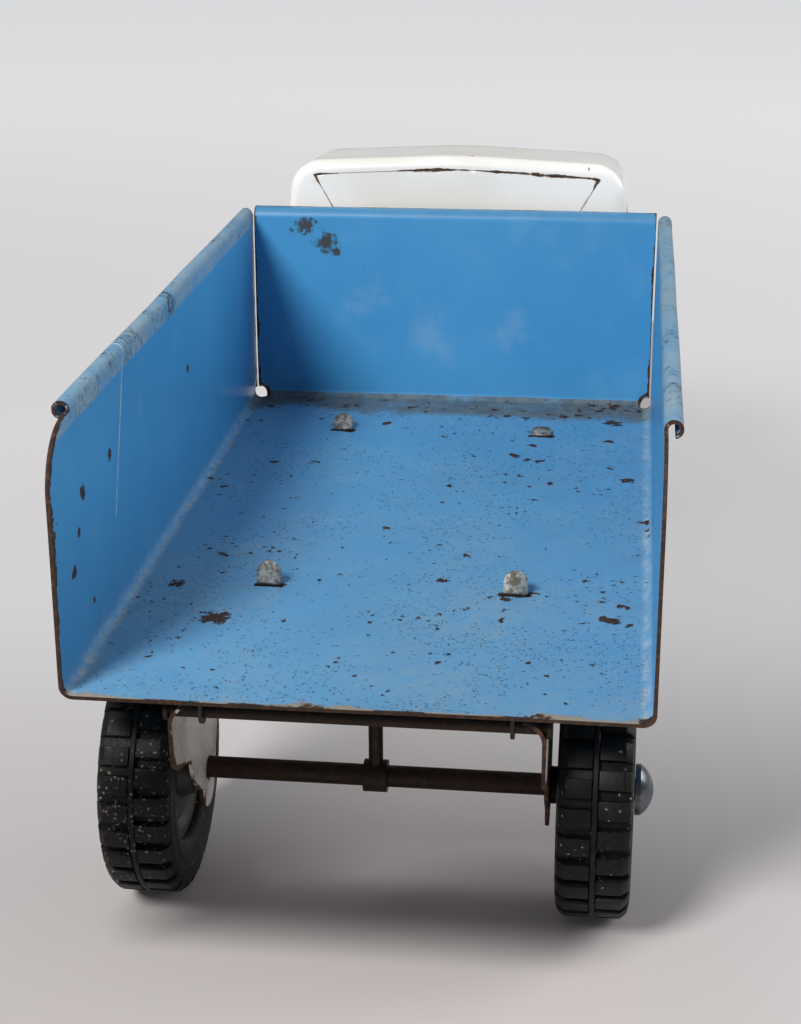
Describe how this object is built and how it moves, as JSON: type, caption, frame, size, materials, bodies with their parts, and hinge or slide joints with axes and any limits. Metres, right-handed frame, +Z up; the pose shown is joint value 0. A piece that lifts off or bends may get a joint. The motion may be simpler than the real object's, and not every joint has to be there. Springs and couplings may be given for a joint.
{
  "type": "toy dump truck",
  "caption": "Toy dump truck of pressed steel: open tray that tips on a rear hinge, channel chassis, cab and free-turning rubber wheels.",
  "frame": {"origin": "on the ground, in the middle of the length and width", "axes": "+X towards the front of the lorry, +Y to its left, +Z up; wheels turn about Y"},
  "size_m": [0.422, 0.1576, 0.1645],
  "materials": {
    "blue_paint": "sky-blue gloss paint, worn and pitted",
    "cream_paint": "cream-white gloss paint, chipped to rust at its edges",
    "bare_steel": "dull bare steel, browned by rust",
    "cap_chrome": "plated, slightly dulled",
    "grille_chrome": "plated, dulled",
    "tyre_rubber": "dusty black rubber",
    "hub_plastic": "black moulded plastic",
    "lamp_glass": "clear moulded lens"
  },
  "bodies": {
    "chassis": {"chassis_frame": "cream_paint", "hinge_rod": "bare_steel", "axle_hanger": "bare_steel", "rear_axle": "bare_steel", "front_axle": "bare_steel", "rear_axle_caps": "cap_chrome", "front_axle_caps": "cap_chrome", "rear_axle_washers": "bare_steel", "front_axle_washers": "bare_steel", "cab_shell": "cream_paint", "cab_back_panel": "cream_paint", "cab_floor": "cream_paint", "seat_bench": "cream_paint", "cab_rear_rivets": "bare_steel", "cab_front_rivets": "bare_steel", "bonnet": "cream_paint", "bonnet_rivets": "bare_steel", "radiator_grille": "grille_chrome", "front_wing_left": "cream_paint", "front_wing_right": "cream_paint", "running_board_left": "cream_paint", "running_board_right": "cream_paint", "headlamp_shell_left": "cap_chrome", "headlamp_shell_right": "cap_chrome", "headlamp_lens_left": "lamp_glass", "headlamp_lens_right": "lamp_glass", "front_bumper": "grille_chrome", "bumper_irons": "bare_steel", "bumper_rivets": "bare_steel"},
    "tipper": {"tipper_tray": "blue_paint", "tray_bearer": "bare_steel"},
    "rear_left_wheel": {"rear_left_tyre": "tyre_rubber", "rear_left_hub": "hub_plastic"},
    "rear_right_wheel": {"rear_right_tyre": "tyre_rubber", "rear_right_hub": "hub_plastic"},
    "front_left_wheel": {"front_left_tyre": "tyre_rubber", "front_left_hub": "hub_plastic"},
    "front_right_wheel": {"front_right_tyre": "tyre_rubber", "front_right_hub": "hub_plastic"}
  },
  "joints": [
    {"name": "tray_tip", "type": "hinge", "parent": "chassis", "child": "tipper", "pos_m": [-0.205, 0, 0.0705], "axis": [0, -1, 0], "range_deg": [0, 50]},
    {"name": "rear_left_wheel_spin", "type": "hinge", "parent": "chassis", "child": "rear_left_wheel", "pos_m": [-0.169, 0.0605, 0.035], "axis": [0, 1, 0], "continuous": true},
    {"name": "rear_right_wheel_spin", "type": "hinge", "parent": "chassis", "child": "rear_right_wheel", "pos_m": [-0.169, -0.0605, 0.035], "axis": [0, 1, 0], "continuous": true},
    {"name": "front_left_wheel_spin", "type": "hinge", "parent": "chassis", "child": "front_left_wheel", "pos_m": [0.161, 0.0605, 0.035], "axis": [0, 1, 0], "continuous": true},
    {"name": "front_right_wheel_spin", "type": "hinge", "parent": "chassis", "child": "front_right_wheel", "pos_m": [0.161, -0.0605, 0.035], "axis": [0, 1, 0], "continuous": true}
  ]
}
